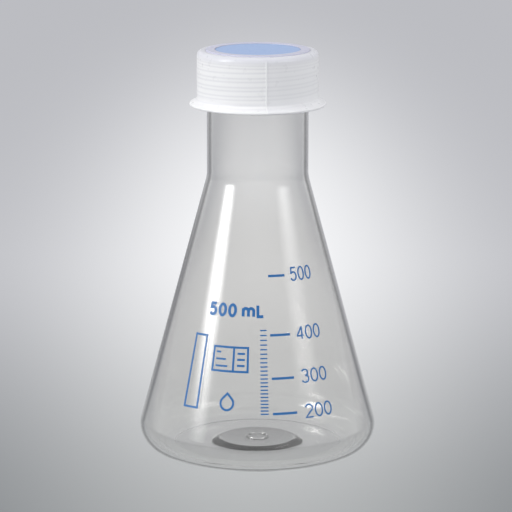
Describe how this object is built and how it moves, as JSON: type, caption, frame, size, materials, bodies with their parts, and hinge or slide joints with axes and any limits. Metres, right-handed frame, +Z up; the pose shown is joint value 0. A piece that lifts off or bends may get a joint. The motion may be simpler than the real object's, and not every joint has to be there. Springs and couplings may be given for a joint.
{
  "type": "conical flask",
  "caption": "Clear plastic conical shake flask with a printed volume scale and a flanged, vented screw cap that turns and rises on its thread.",
  "frame": {"origin": "centre of the foot ring, on the bench", "axes": "+Z up along the flask's axis to the cap; the printed scale faces -Y and reads left to right along +X"},
  "size_m": [0.108, 0.108, 0.1847],
  "materials": {
    "clear_plastic": "gloss",
    "cap_plastic": "satin",
    "membrane": "matt",
    "carrier_plastic": "satin",
    "seal": "matt",
    "ink": "satin"
  },
  "bodies": {
    "flask": {"flask_body": "clear_plastic", "print_scale_marks": "ink", "print_fine_scale": "ink", "print_numeral_500": "ink", "print_numeral_400": "ink", "print_numeral_300": "ink", "print_numeral_200": "ink", "print_capacity": "ink", "print_record_box": "ink", "print_name_strip": "ink", "print_drop_sign": "ink"},
    "seal": {"sealing_ring": "seal"},
    "cap": {"cap_shell": "cap_plastic", "vent_membrane": "membrane", "vent_carrier_ring": "carrier_plastic"}
  },
  "joints": [
    {"name": "cap_lift", "type": "slide", "parent": "flask", "child": "seal", "axis": [0, 0, 1], "range_m": [0, 0.0261]},
    {"name": "cap_turn", "type": "hinge", "parent": "seal", "child": "cap", "pos_m": [0, 0, 0.1704], "axis": [0, 0, 1], "range_deg": [0, 2340]}
  ],
  "couplings": [
    {"joint": "cap_lift", "follows": "cap_turn", "m_per_rad": 0.00063662}
  ]
}
